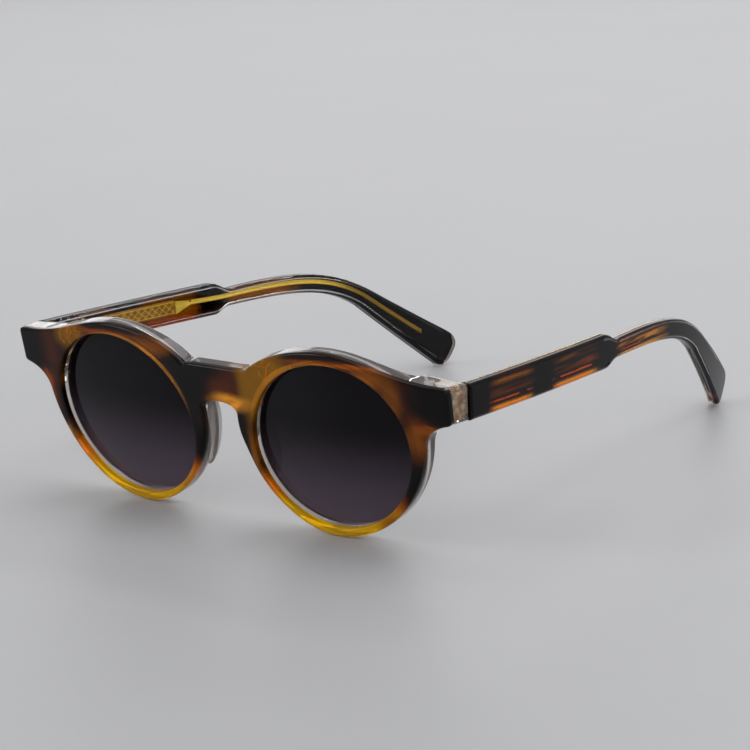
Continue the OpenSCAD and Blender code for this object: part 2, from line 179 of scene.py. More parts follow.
def cloudy(tree, place, size_mm, detail=3.0, warp=0.0):
    """Soft noise whose clouds are about size_mm across"""
    inputs = {"Vector": place, "Scale": 1 / (size_mm * MM), "Detail": detail, "Roughness": 0.55}
    return add_node(tree, "TexNoise", "Fac", {**inputs, "Distortion": warp})


def wavy_place(tree, place, size_mm, swing_mm):
    """Coordinates pushed about by coloured noise, which gives patches a wandering edge"""
    inputs = {"Vector": place, "Scale": 1 / (size_mm * MM), "Detail": 2.5}
    colours = add_node(tree, "TexNoise", "Color", inputs)
    centred = vector_node(tree, "SUBTRACT", colours, (0.5, 0.5, 0.5))
    push = vector_node(tree, "MULTIPLY", centred, [2 * swing_mm * MM] * 3)
    return vector_node(tree, "ADD", place, push)


def ramp(tree, value, low, high):
    """0 at low and 1 at high, with a smooth step between"""
    inputs = {"Value": value, "From Min": low, "From Max": high}
    return add_node(tree, "MapRange", "Result", inputs, interpolation_type="SMOOTHSTEP")


def ramp_mm(tree, value, low_mm, high_mm):
    """The same smooth step on a length, with its two ends in millimetres"""
    return ramp(tree, value, low_mm * MM, high_mm * MM)


def band(tree, value, middle_mm, half_mm):
    """1 on a line at a height and 0 further off than its half width"""
    return ramp_mm(tree, off_by(tree, value, middle_mm * MM), half_mm, 0.3 * half_mm)


def oval_distance(tree, place, centre_mm, reach_mm):
    """How far out a place is from the middle of an oval, where 1 is its edge"""
    moved = vector_node(tree, "SUBTRACT", place, [c * MM for c in centre_mm])
    shrunk = vector_node(tree, "MULTIPLY", moved, [1 / (r * MM) for r in reach_mm])
    return vector_node(tree, "LENGTH", shrunk)


def blot(tree, place, centre_mm, reach_mm, edge):
    """A soft-edged oval patch: 1 in its middle and 0 outside its reach"""
    return ramp(tree, oval_distance(tree, place, centre_mm, reach_mm), 1.0 + edge, 1.0 - edge)


def bump(tree, height, strength, distance):
    """Normals tilted by a height that follows noise"""
    return add_node(tree, "Bump", "Normal", {"Height": height, "Strength": strength, "Distance": distance})


print("node helpers ready")

# %% [markdown]
# ## The tortoise face of the front
# The sheet fades from clear yellow under the lenses through orange to a brown that is nearly black, and
# lighter amber patches lie in the brown over the lenses, beside the bridge and at the temple sides. A
# height fade gives the first part. The patches are ovals whose edges are pushed about by noise, because
# a plain noise would not put them at the same places as on the real frame. Some marks are painted light:
# bright orange ovals on the bridge underside and the lower rims are painted glow and glints where light
# shines through. A band and thin ovals along the top of each lens opening are a painted highlight on its
# bevelled inner edge, and thin orange lines in two olive patches are painted internal reflections.

# %% Mix the tortoise of the front
YELLOW = (1.0, 0.57, 0.003)
ORANGE = (0.95, 0.25, 0.004)
OLIVE = (0.38, 0.165, 0.002)
HAZEL = (0.48, 0.15, 0.003)
CHESTNUT = (0.32, 0.090, 0.002)
DARK_RED = (0.13, 0.024, 0.003)
RUST = (0.50, 0.11, 0.002)
RED_BROWN = (0.055, 0.010, 0.002)
DEEP_BROWN = (0.014, 0.004, 0.002)
NEAR_BLACK = (0.002, 0.001, 0.001)
# Painted light: this orange is the painted glow and glints on the bridge underside and the lower rims, and
# the painted highlight along the lens openings
ORANGE_PAINTED_LIGHT = (1.0, 0.40, 0.03)
POLISHED_TORTOISE = {"Roughness": 0.05, "IOR": 1.30, "Specular IOR Level": 0.25, "Transmission Weight": 0.62}

FACE_DEPTH = -72
RIGHT_THROUGH = 200
LENS_OVAL_MIDDLE = (34.2, 0, 24.0)
LENS_OVAL_REACH = (24.0, math.inf, 21.5)
# Most ovals are the sheet's own patches, but some are painted light: the thin rust ovals at (-37, 45.6) and
# (38, 45.7) and the chestnut oval at (-21, 44) paint the highlight on the bevelled top edge of each lens
# opening, the rust oval at (-63, 29.5) paints red-orange glints, and the bright orange ovals paint glow and
# glints
FACE_PATCHES = [
    (RED_BROWN, 0.6, [(-11.5, 24, 1.5, 8), (57, 37, 4, 7)]),
    (DARK_RED, 0.8, [(-60, 39, 3.6, 5), (2.5, 37, 5, 4.5), (62, 33, 3, 3)]),
    (OLIVE, 0.5, [(-50.5, 43.5, 5.5, 4), (11.5, 36.5, 3.4, 8), (17, 42, 8, 5.5)]),
    (HAZEL, 0.8, [(9.6, 17, 1.3, 8), (50, 5.5, 4, 3)]),
    (CHESTNUT, 0.8, [(60.5, 28.5, 2.6, 4.6), (49.5, 43.4, 4.5, 2.4), (55, 38.5, 2.6, 4.2), (-21, 44, 8, 2)]),
    (RUST, 0.6, [(-37, 45.6, 9, 0.8), (-63.5, 22, 2.4, 8), (38, 45.7, 12, 0.7),
                 (65.5, 31.8, 5, 1.3), (-63, 29.5, 2.2, 2.6)]),
    (ORANGE_PAINTED_LIGHT, 0.6, [(-58.8, 13.5, 2.0, 4), (4.5, 32.2, 6.5, 1.9), (-16, 9, 5, 3)]),
    (NEAR_BLACK, 0.55, [(-70, 38, 8, 9), (-58.3, 23, 1.0, 6), (-9, 36, 6, 8),
                        (-8.5, 21, 2.6, 9), (-6, 40, 9, 3), (67.5, 38.5, 8, 6),
                        (59.5, 14.5, 6.5, 9.5), (6.5, 19, 2.0, 8)]),
]
# Painted reflections: the two olive patches where thin orange lines stand for internal reflections in the
# sheet
REFLECTION_LINE_PATCHES = [(16.5, 42, 5, 3), (-50, 43, 5, 3)]


def face_blot(tree, place, patch, edge):
    """A blot on the face of the front, across, up, wide and tall, that goes right through the sheet"""
    across, up, wide, tall = patch
    return blot(tree, place, (across, FACE_DEPTH, up), (wide, RIGHT_THROUGH, tall), edge)


def tortoise_front_material():
    material, tree, shader = new_material("front_tortoise")
    place = object_place(tree)
    wandering = wavy_place(tree, place, 6, 0.9)
    height = coordinate(tree, wandering, "Z")
    mirrored = vector_node(tree, "ABSOLUTE", place)
    from_lens = oval_distance(tree, mirrored, LENS_OVAL_MIDDLE, LENS_OVAL_REACH)
    clouds = ramp(tree, cloudy(tree, place, 7, warp=1.2), 0.42, 0.62)
    brown = blend_colour(tree, clouds, DEEP_BROWN, RED_BROWN)
    crown = times(tree, ramp(tree, from_lens, 1.04, 1.09), ramp_mm(tree, height, 38, 44), 0.9)
    coats = [(ramp_mm(tree, height, 6, 11), ORANGE), (ramp_mm(tree, height, 11, 17), brown)]
    coats.append((crown, DEEP_BROWN))
    for coat, edge, patches in FACE_PATCHES:
        coats += [(face_blot(tree, wandering, patch, edge), coat) for patch in patches]
    # Painted reflections: thin orange contour lines of noise, laid only in the two olive patches
    painted_reflection_lines = ramp(tree, off_by(tree, cloudy(tree, place, 4, warp=1.5), 0.5), 0.025, 0.005)
    for patch in REFLECTION_LINE_PATCHES:
        coats.append((times(tree, painted_reflection_lines, face_blot(tree, wandering, patch, 0.3)), ORANGE))
    # Painted highlight: a warm band along the upper half of each lens opening stands for the light caught by
    # its bevelled inner edge
    painted_lip_highlight = times(tree, ramp(tree, from_lens, 1.035, 1.008), ramp_mm(tree, height, 26, 36), 0.5)
    coats.append((painted_lip_highlight, ORANGE_PAINTED_LIGHT))
    fill(tree, shader, {"Base Color": paint(tree, YELLOW, coats), **POLISHED_TORTOISE})
    return material


front_tortoise = tortoise_front_material()
print("front tortoise has", len(front_tortoise.node_tree.nodes), "nodes")

# %% [markdown]
# ## The tortoise of the temples
# The outer sheet of a temple is darker. Two zones with amber streaks and a thin flame-red line lie on
# the wide part, the neck has long amber streaks, and the shoulder and the tip are nearly black. The
# streaks run along the temple, so their noise is stretched along Y.

# %% Mix the tortoise of the temples
FLAME = (0.95, 0.12, 0.010)
HONEY = (1.0, 0.46, 0.03)
AMBER = (1.0, 0.42, 0.04)
EMBER = (1.0, 0.06, 0.01)
STREAK_STRETCH = 0.06
TEMPLE_START = 66
HINGE_LEVEL = 38.15
TEMPLE_DROP = 0.0405
NECK_SQUEEZE = 0.75
DARK_ZONES = [(-63.5, 6), (-35.8, 6), (-4.5, 6.5)]
ALL_OVER = 400


def tip_glow(tree, place):
    """A small warm spot under the tip on the wearer's left"""
    wearers_left = ramp_mm(tree, coordinate(tree, place, "X"), 0, 10)
    return times(tree, wearers_left, blot(tree, place, (0, 63.5, 3.2), (ALL_OVER, 5, 1.6), 0.7))


def tortoise_temple_material():
    material, tree, shader = new_material("temple_tortoise")
    place = object_place(tree)
    along = object_place(tree, STREAK_STRETCH)
    wandering = wavy_place(tree, place, 2.5, 3.0)
    run = coordinate(tree, place, "Y")
    sway = coordinate(tree, wavy_place(tree, along, 3, 0.45), "Z")
    fall = times(tree, math_node(tree, "ADD", run, TEMPLE_START * MM), TEMPLE_DROP)
    level = math_node(tree, "ADD", math_node(tree, "SUBTRACT", sway, HINGE_LEVEL * MM), fall)
    neck = ramp_mm(tree, run, -3, 2)
    level = times(tree, level, math_node(tree, "ADD", times(tree, neck, NECK_SQUEEZE), 1.0))
    clouds = ramp(tree, cloudy(tree, along, 3.0, detail=2), 0.40, 0.62)
    brown = blend_colour(tree, clouds, DEEP_BROWN, RED_BROWN)
    broken = ramp(tree, cloudy(tree, along, 2.2, detail=2), 0.36, 0.52)
    patchy = ramp(tree, cloudy(tree, place, 7), 0.42, 0.52)
    wearers_right = ramp_mm(tree, coordinate(tree, place, "X"), 10, -10)
    coats = [
        (times(tree, band(tree, level, 2.7, 0.85), broken, 0.7), HAZEL),
        (times(tree, band(tree, level, 0.2, 1.2), broken, 0.5), RUST),
        (times(tree, band(tree, level, -1.6, 0.36), patchy), FLAME),
        (ramp_mm(tree, level, -2.4, -3.2), HONEY),
        (times(tree, neck, band(tree, level, 0.1, 1.6), broken), AMBER),
        (times(tree, wearers_right, ramp_mm(tree, level, 2.6, 0.5), 0.8), HAZEL),
    ]
    for middle, reach in DARK_ZONES:
        zone = blot(tree, wandering, (0, middle, 30), (ALL_OVER, reach, ALL_OVER), 0.45)
        coats.append((zone, NEAR_BLACK))
    coats.append((ramp_mm(tree, coordinate(tree, wandering, "Y"), 19, 31), NEAR_BLACK))
    coats.append((tip_glow(tree, place), EMBER))
    fill(tree, shader, {"Base Color": paint(tree, brown, coats), **POLISHED_TORTOISE})
    return material


temple_tortoise = tortoise_temple_material()
print("temple tortoise has", len(temple_tortoise.node_tree.nodes), "nodes")

# %% [markdown]
# ## Clear acetate
# The clear sheet behind the tortoise is not quite colourless: old clear acetate is faintly warm and a
# little milky. A very fine ripple from polishing keeps its reflections from looking computed. In the
# temples it is clearer. Its lower edge carries a painted amber glow for the light that the amber sheet
# cemented to it sends through, and painted shade darkens it towards the tips. The nose pads are of the
# same stuff as the front, left hazy by the file.

# %% Mix the clear acetate
CLEAR_IOR = 1.49
TEMPLE_IOR = 1.30
FRONT_TINTS = ((0.68, 0.64, 0.61), (0.78, 0.74, 0.71))
TEMPLE_TINTS = ((0.84, 0.82, 0.79), (0.94, 0.92, 0.89))
# Painted glow: amber laid on the clear sheet's lower edge for light shining through from the amber sheet
PAINTED_EDGE_GLOW = (0.75, 0.24, 0.03)
# Painted shade: a darker tone laid on the clear sheet towards the tips
PAINTED_TIP_SHADE = (0.30, 0.24, 0.21)


def temple_coats(tree, place):
    """The painted amber glow of the lower edge, the painted shade towards the tip and the warm spot under it
    """
    run = coordinate(tree, place, "Y")
    level = math_node(tree, "ADD", coordinate(tree, place, "Z"), times(tree, run, TEMPLE_DROP))
    # Painted glow: the amber lower edge of the clear sheet along the wide part of the temple
    painted_edge_glow = times(tree, ramp_mm(tree, level, 34.4, 32.0), ramp_mm(tree, run, 34, 20))
    # Painted shade: the clear sheet darkens towards the tip
    tip = ramp_mm(tree, run, 34, 50)
    return [(painted_edge_glow, PAINTED_EDGE_GLOW), (tip, PAINTED_TIP_SHADE), (tip_glow(tree, place), EMBER)]


def clear_acetate_material(name, haze, milk, tints, ior, coats=None):
    material, tree, shader = new_material(name)
    place = object_place(tree)
    tint = blend_colour(tree, cloudy(tree, place, 6), *tints)
    fill(tree, shader, {
        "Base Color": paint(tree, tint, coats(tree, place) if coats else []),
        "Normal": bump(tree, cloudy(tree, place, 3), 0.05, 0.2 * MM),
        "Roughness": haze,
        "IOR": ior,
        "Transmission Weight": 1.0 - milk,
    })
    return material


clear_acetate = clear_acetate_material("clear_acetate", 0.03, 0.09, FRONT_TINTS, CLEAR_IOR)
temple_clear = clear_acetate_material("temple_clear", 0.03, 0.0, TEMPLE_TINTS, TEMPLE_IOR, temple_coats)
hazy_clear = clear_acetate_material("hazy_clear", 0.28, 0.12, FRONT_TINTS, CLEAR_IOR)
print("clear acetates ready")

# %% [markdown]
# ## Tinted lenses
# The lenses are dipped in dye and drawn out slowly, so the top takes more dye than the bottom: a
# gradient tint. A height fade between two violet greys is the same thing. The dye also scatters some
# light, so only about two thirds of it is transmitted.

# %% Mix the lens tint
LOW_TINT = (0.135, 0.104, 0.140)
HIGH_TINT = (0.003, 0.002, 0.004)
SMOKE = (0.02, 0.012, 0.012)


def tinted_lens_material():
    material, tree, shader = new_material("gradient_tint")
    place = object_place(tree)
    fade = ramp_mm(tree, coordinate(tree, place, "Z"), 2, 31)
    smoke = times(tree, cloudy(tree, place, 20), 0.12)
    fill(tree, shader, {
        "Base Color": paint(tree, LOW_TINT, [(fade, HIGH_TINT), (smoke, SMOKE)]),
        "Roughness": 0.02,
        "IOR": 1.26,
        "Specular IOR Level": 0.2,
        "Transmission Weight": 0.68,
    })
    return material


gradient_tint = tinted_lens_material()
print("lens tint ready")

# %% [markdown]
# ## Hinge and core metal
# The hinges, the screws and the core wires are brass-coloured nickel silver. Stamping and tumbling
# leave the metal softly brushed and a little uneven in tone, so its colour and its roughness both
# follow noise. Seen through acetate a metal mirrors less, so the core is a duller gold with a brighter
# one in its engraving, and the anchors in the endpieces are a mottled champagne colour.

# %% Mix the gold-coloured metals
def gold_metal_material(name, darker, lighter, metallic):
    material, tree, shader = new_material(name)
    place = object_place(tree)
    tone = ramp(tree, cloudy(tree, place, 2.2), 0.35, 0.65)
    grain = cloudy(tree, object_place(tree, 0.12), 0.25, detail=4)
    fill(tree, shader, {
        "Base Color": blend_colour(tree, tone, darker, lighter),
        "Roughness": math_node(tree, "ADD", times(tree, grain, 0.2), 0.2),
        "Normal": bump(tree, grain, 0.15, 0.1 * MM),
        "Metallic": metallic,
    })
    return material


gold_metal = gold_metal_material("gold_metal", (0.62, 0.40, 0.20), (0.90, 0.70, 0.46), 1.0)
core_gold = gold_metal_material("core_gold", (0.38, 0.16, 0.006), (0.52, 0.23, 0.010), 0.4)
bright_gold = gold_metal_material("bright_gold", (1.0, 0.66, 0.05), (1.0, 0.74, 0.10), 0.15)
champagne = gold_metal_material("champagne_metal", (0.42, 0.14, 0.025), (1.0, 0.82, 0.45), 0.15)
print("gold metals ready")

# %% [markdown]
# ## Drawing the front
# A frame maker draws the front flat, cuts it, and bends the finished sheet round the face afterwards.
# The same order works here: every point is first given as a place across, a depth and a height on a
# flat drawing in millimetres, and the last step bends and leans it into place. The outline is a chain
# of Bezier curves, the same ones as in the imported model.

# %% Draw the outline of the front
LENS_X = 34.2
LENS_Z = 24.0
LENS_HALF_W = 24.0
LENS_HALF_H = 21.6
LENS_SLANT = 0.07
RIM_X = 62.4
HALF_W = 71.2
NOSE_X = 5.8
NOSE_TOP = 29.6
CREST = 48.7
BRIDGE_TOP = 41.5
BRIDGE_UNDER = 32.0
END_TOP = 42.65
END_H = 9.25
SIDE_START = 27.0


def chain(start, *curves):
    """Bezier curves that follow each other, each with two handles, an end and a number of steps"""
    points = []
    for handle, other_handle, end, steps in curves:
        corners = (Vector(corner) for corner in (start, handle, other_handle, end))
        points += interpolate_bezier(*corners, steps + 1)[:-1]
        start = end
    return points


def front_outline():
    """The outer edge of the front on the wearer's left, closed along the middle of the bridge"""
    side, top, low = HALF_W, END_TOP, END_TOP - END_H
    over_the_top = chain(
        (0, BRIDGE_TOP),
        ((2.8, BRIDGE_TOP), (5.8, BRIDGE_TOP), (8.6, BRIDGE_TOP), 8),
        ((9.0, 41.3), (9.4, 41.0), (9.8, 40.8), 2),
        ((15.0, 45.5), (24.0, CREST - 0.1), (34.5, CREST), 32),
        ((46.0, CREST + 0.1), (54.0, top + 0.3), (side - 1.3, top + 0.02), 36),
    )
    round_the_rim = chain(
        (side - 1.3, top),
        ((side - 0.4, top), (side, top - 0.4), (side, top - 1.3), 4),
        ((side, top - 3), (side - 0.2, low + 3), (side - 0.2, low + 1.1), 6),
        ((side - 0.2, low + 0.3), (side - 0.6, low), (side - 1.3, low - 0.25), 4),
        ((side - 4.8, low - 1), (RIM_X + 1, low - 2.6), (RIM_X, SIDE_START), 16),
        ((RIM_X - 1.9, SIDE_START / 2), (LENS_X + 14.5, 0), (LENS_X - 2.2, 0), 46),
        ((LENS_X - 15.7, 0), (NOSE_X - 1.2, NOSE_TOP / 2), (NOSE_X, NOSE_TOP), 44),
        ((NOSE_X - 0.2, BRIDGE_UNDER - 0.8), (NOSE_X / 2, BRIDGE_UNDER), (0, BRIDGE_UNDER), 10),
        ((0, 35), (0, 38), (0, BRIDGE_TOP), 4),
    )
    return over_the_top + round_the_rim


OUTLINE = front_outline()
print("points round one half of the front:", len(OUTLINE))

# %% [markdown]
# ## Rows of faces round each lens
# The half front is a ring: an outline outside and a lens opening inside. A circle with as many edges
# as the outline is laid a little inside the outline. Extruding its edges inwards, row after row, gives
# the face, and extruding them outwards gives the band that tumbling makes round. Each point of a round
# band keeps how far it must drop, so the edges get an exact quarter round even at the sharp notches
# beside the bridge.

# %% Make the flat ring and mirror it
ROUND_STEPS = 5
MIDDLE_POINTS = 3
EXTRA_TURNS = [(0, 0), (8, 4), (10, 1), (42, 0), (78, 8), (86, 10), (93, 10), (108, 1.5), (154, 0), (198, 0),
               (208, -9.5), (212, 0)]
SMALLEST_TURN = 0.004
SHARPEST_CORNER = 0.6
MEETING = 0.0005


def lens_swell(angle):
    """How much the leaning round of a lens swells past a plain oval at an angle"""
    return math.sqrt((1 - LENS_SLANT ** 2) / (1 - LENS_SLANT * math.sin(2 * angle)))


def opening_point(angle, grow=0.0):
    """A point on the lens opening, whose round shape leans a little towards the temple"""
    k = lens_swell(angle)
    return Vector((LENS_X + (LENS_HALF_W + grow) * k * math.cos(angle),
                   LENS_Z + (LENS_HALF_H + grow) * k * math.sin(angle)))


def opening_share(x, v):
    """How far out a point is from the middle of its lens, where 1 is the edge of the opening"""
    across = (abs(x) - LENS_X) / LENS_HALF_W
    up = (v - LENS_Z) / LENS_HALF_H
    return math.hypot(across, up) / lens_swell(math.atan2(up, across))


def extra_turn(index):
    """Degrees added at an outline point, so that the rows never run along the outline"""
    for (low, low_turn), (high, high_turn) in zip(EXTRA_TURNS, EXTRA_TURNS[1:]):
        if low <= index <= high:
            return low_turn + (high_turn - low_turn) * (index - low) / (high - low)
    return 0


def opening_angles():
    """An angle on the opening for each outline point, always turning the same way"""
    angles = []
    turned = math.pi
    for index, point in enumerate(OUTLINE):
        direct = math.atan2((point.y - LENS_Z) / LENS_HALF_H, (point.x - LENS_X) / LENS_HALF_W)
        while direct > turned + 1.0:
            direct -= 2 * math.pi
        turned = direct
        angle = direct + math.radians(extra_turn(index))
        angles.append(min([angle] + [last - SMALLEST_TURN for last in angles[-1:]]))
    return angles


def edge_chain(inset):
    """The outer edge from the top of the bridge round to its underside, moved inwards"""
    points = OUTLINE[:-MIDDLE_POINTS]
    before = [Vector((-points[1].x, points[1].y))] + points[:-1]
    after = points[1:] + [Vector((-points[-2].x, points[-2].y))]
    moved = []
    for last, point, following in zip(before, points, after):
        arriving = (point - last).normalized()
        leaving = (following - point).normalized()
        inwards = Vector((arriving.y + leaving.y, -arriving.x - leaving.x)).normalized()
        lengthen = 1 / max(SHARPEST_CORNER, inwards.dot(Vector((arriving.y, -arriving.x))))
        moved.append(point + inwards * inset * lengthen)
    return moved


def round_rows(radius):
    """Distance from the edge and drop of each row of a quarter round, from the face to the side"""
    turns = [math.pi / 2 * (1 - step / ROUND_STEPS) for step in range(1, ROUND_STEPS + 1)]
    return [(radius * (1 - math.cos(turn)), radius * (1 - math.sin(turn))) for turn in turns]


def everything(bm):
    return bm.verts[:] + bm.edges[:] + bm.faces[:]


def only_verts(geometry):
    return [g for g in geometry if isinstance(g, bmesh.types.BMVert)]


def extrude_row(bm, row, closed):
    """Extrude a row of points once and give the new row in the same order"""
    ends = row[1:] + row[:1] if closed else row[1:]
    edges = [bm.edges.get(pair) for pair in zip(row, ends)]
    extruded = bmesh.ops.extrude_edge_only(bm, edges=edges)["geom"]
    order = {vert: index for index, vert in enumerate(row)}
    fresh = [None] * len(row)
    for vert in only_verts(extruded):
        source = next(e.other_vert(vert) for e in vert.link_edges if e.other_vert(vert) in order)
        fresh[order[source]] = vert
    return fresh


def place_row(row, points):
    for vert, point in zip(row, points):
        vert.co = (point.x, 0, point.y)


def round_band(bm, row, closed, radius, points_at):
    """Extrude the rows of a quarter round from the face to the side, and keep how far each drops"""
    drop = bm.verts.layers.float["drop"]
    for distance, fall in round_rows(radius):
        row = extrude_row(bm, row, closed)
        place_row(row, points_at(distance))
        for vert in row:
            vert[drop] = fall


def flat_front(cuts, outer_radius, lens_radius):
    """Both halves of the front as one flat sheet at depth 0, with the drop of its round edges"""
    bm = bmesh.new()
    bm.verts.layers.float.new("drop")
    angles = opening_angles()
    base = edge_chain(outer_radius)
    for step in range(1, MIDDLE_POINTS + 1):
        base.append(base[-step].lerp(base[0], step / (MIDDLE_POINTS + 1)))
    ring = bmesh.ops.create_circle(bm, segments=len(base), radius=1.0)["verts"]
    place_row(ring, base)
    seats = [opening_point(angle, lens_radius) for angle in angles]
    row = ring
    for step in range(1, cuts + 2):
        row = extrude_row(bm, row, closed=True)
        place_row(row, [start.lerp(seat, step / (cuts + 1)) for start, seat in zip(base, seats)])
    round_band(bm, row, True, lens_radius, lambda inset: [opening_point(angle, inset) for angle in angles])
    round_band(bm, ring[:-MIDDLE_POINTS], False, outer_radius, edge_chain)
    bmesh.ops.mirror(bm, geom=everything(bm), axis="X", merge_dist=2 * MEETING)
    bmesh.ops.remove_doubles(bm, verts=bm.verts[:], dist=MEETING)
    bmesh.ops.recalc_face_normals(bm, faces=bm.faces[:])
    return bm


def thicken(bm, step):
    """Extrude a flat sheet once, which gives it its thickness"""
    extruded = bmesh.ops.extrude_face_region(bm, geom=bm.faces[:])
    bmesh.ops.translate(bm, vec=step, verts=only_verts(extruded["geom"]))


def front_sheet(cuts, outer_radius, lens_radius, near, far, touched):
    """A flat sheet between two depths, whose round edges drop away on the side that can be touched"""
    bm = flat_front(cuts, outer_radius, lens_radius)
    bmesh.ops.translate(bm, vec=(0, near, 0), verts=bm.verts[:])
    thicken(bm, (0, far - near, 0))
    drop = bm.verts.layers.float["drop"]
    inwards = 1 if touched == near else -1
    for vert in bm.verts:
        if abs(vert.co.y - touched) < 0.001:
            vert.co.y += inwards * vert[drop]
    return bm


def smooth_step(value, low, high):
    """0 below low and 1 above high, with a smooth step between"""
    share = min(1.0, max(0.0, (value - low) / (high - low)))
    return share * share * (3 - 2 * share)


print("points round one lens:", len(opening_angles()))

# %% [markdown]
# ## Bending the front and finishing a piece
# The flat drawing is wrapped round a large upright cylinder, as a warm press bends the real front, and
# leant forward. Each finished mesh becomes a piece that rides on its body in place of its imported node.

# %% Bend flat places and finish pieces
FRONT_T = 5.2
FACE_T = 1.7
CEMENT = 0.02
FRONT_BEND = 700.0
FRONT_LEAN = math.radians(8.15)
MID_Y = 72.2118
SIDES = (("left", 1), ("right", -1))


def lean_front(x, w, v):
    """Lean a point of the front forward, in metres"""
    return Vector((
        x,
        w * math.cos(FRONT_LEAN) - v * math.sin(FRONT_LEAN) - MID_Y,
        w * math.sin(FRONT_LEAN) + v * math.cos(FRONT_LEAN),
    )) * MM


def bend_front(x, depth, v):
    """A flat place, depth and height, bent round the face and leant forward, in metres"""
    return lean_front(x, FRONT_BEND - math.sqrt((FRONT_BEND - depth) ** 2 - x * x), v)


def mesh_object(bm, name, material):
    mesh = bpy.data.meshes.new(name)
    bm.to_mesh(mesh)
    bm.free()
    mesh.materials.append(material)
    return add_object(name, mesh)


def finish_piece(bm, name, nodes, body, material, side=1):
    """Turn a mesh into a piece that rides on its body and stands for its node"""
    bmesh.ops.scale(bm, vec=(side, 1, 1), verts=bm.verts[:])
    bmesh.ops.recalc_face_normals(bm, faces=bm.faces[:])
    piece = mesh_object(bm, name, material)
    piece.data.shade_smooth()
    piece.modifiers.new("even_shading", "WEIGHTED_NORMAL").keep_sharp = True
    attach(piece, body)
    if nodes:
        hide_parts(*nodes)
    print(name, "has", len(piece.data.polygons), "faces")
    return piece


print("radius of the bent front:", FRONT_BEND)

# %% [markdown]
# ## The tortoise sheet of the front
# The outer edges are tumbled round and the edges at the lenses less so, which the drops of the rows
# give. Beside the nose the sheet is filed away to a slope, so that it does not press on the skin. The
# slope is a depth that grows towards the outside on the nose side only.

# %% Build the tortoise sheet
NOSE_SLOPE = 1.0


def nose_slope(x, v):
    """How far the face is filed back at a place on the flat drawing"""
    turn = math.degrees(math.atan2(v - LENS_Z, abs(x) - LENS_X)) % 360
    beside_nose = smooth_step(turn, 176, 196) * (1 - smooth_step(turn, 222, 250))
    return NOSE_SLOPE * beside_nose * smooth_step(opening_share(x, v), 1.03, 1.2)


def build_front_tortoise():
    bm = front_sheet(7, 0.75, 0.5, near=0, far=FACE_T, touched=0)
    for vert in bm.verts:
        x, depth, v = vert.co
        filed = nose_slope(x, v) * (1 - depth / FACE_T)
        vert.co = bend_front(x, depth + filed, v)
    finish_piece(bm, "front_tortoise_sheet", ["front_face_layer"], "front",
                 front_tortoise)


build_front_tortoise()

# %% [markdown]
# ## The clear sheet of the front
# Behind the tortoise sheet lies a clear one, twice as thick, with a groove for the lenses. At each end
# it grows into a deeper block that takes the hinge. The rim is cut at a few depths, the ring in the
# middle of the lens groove is pushed outwards, and the block is a second set of places that the ring
# moves to at its ends, which gives one continuous skin without a seam.

# %% Build the clear sheet
GROOVE_DEPTHS = (2.6, 3.55, 4.4)
GROOVE = 0.45
END_BACK = 6.085
TEMPLE_X = 72.3
BUTT_X = 68.4
BUTT_SLANT = math.radians(14)
LEAF_PROUD = 0.04


def block_back(x):
    """How far back the endpiece block reaches, with the slanted face where the temple closes"""
    return END_BACK - LEAF_PROUD - max(0.0, x - BUTT_X) * math.tan(BUTT_SLANT) - MID_Y


def block_share(x, v):
    """1 where the deep block is, falling to 0 over the fillet that joins it to the rim"""
    return smooth_step(x, 58.4, 62.2) * smooth_step(v, 30.6, 33.6)


def clear_front_point(signed_x, depth, v):
    """The place of a point of the clear sheet, between its front face and its back"""
    x = abs(signed_x)
    near = FACE_T - CEMENT
    ahead = bend_front(x, near, v)
    block_x = x + (TEMPLE_X - HALF_W) * smooth_step(x, HALF_W - 4, HALF_W)
    level_back = Vector((block_x * MM, block_back(block_x) * MM, ahead.z))
    back = bend_front(x, FRONT_T, v).lerp(level_back, block_share(x, v))
    place = ahead.lerp(back, (depth - near) / (FRONT_T - near))
    place.x = math.copysign(place.x, signed_x)
    return place


def build_front_clear():
    bm = front_sheet(14, 0.9, 0.5, near=FACE_T - CEMENT, far=FRONT_T, touched=FRONT_T)
    for depth in GROOVE_DEPTHS:
        bmesh.ops.bisect_plane(bm, geom=everything(bm), dist=0.0001,
                               plane_co=(0, depth, 0), plane_no=(0, 1, 0))
    grown = (LENS_HALF_W + GROOVE) / LENS_HALF_W
    for vert in bm.verts:
        x, depth, v = vert.co
        if opening_share(x, v) < 1.005 and abs(depth - GROOVE_DEPTHS[1]) < 0.01:
            x = math.copysign(LENS_X + (abs(x) - LENS_X) * grown, x)
            v = LENS_Z + (v - LENS_Z) * grown
        vert.co = clear_front_point(x, depth, v)
    finish_piece(bm, "front_clear_sheet", ["front_back_layer"], "front", clear_acetate)


build_front_clear()

# %% [markdown]
# ## The lenses
# A lens is a thin shell of two spheres, cut to the opening and ground to a blunt edge that snaps into
# the groove. Rings that shrink from the edge to the middle and end in one point follow a sphere well,
# and one formula gives each ring its depth.

# %% Build both lenses
LENS_R = 132.0
LENS_T = 1.9
LENS_APEX = 0.821
LENS_SEGMENTS = 128
LENS_RINGS = (0.985, 0.95, 0.9, 0.8, 0.65, 0.5, 0.35, 0.2, 0.08)
LENS_REACH = 0.4
BLUNT = 0.2

lens_turn = math.asin(LENS_X / FRONT_BEND)
lens_run = FRONT_BEND - (LENS_APEX + LENS_R)
LENS_CENTRE = (lens_run * math.sin(lens_turn), FRONT_BEND - lens_run * math.cos(lens_turn))


def lens_surface(x, v, radius):
    """How far back one face of a lens is at a place on the flat drawing"""
    return LENS_CENTRE[1] - math.sqrt(radius ** 2 - (x - LENS_CENTRE[0]) ** 2 - (v - LENS_Z) ** 2)


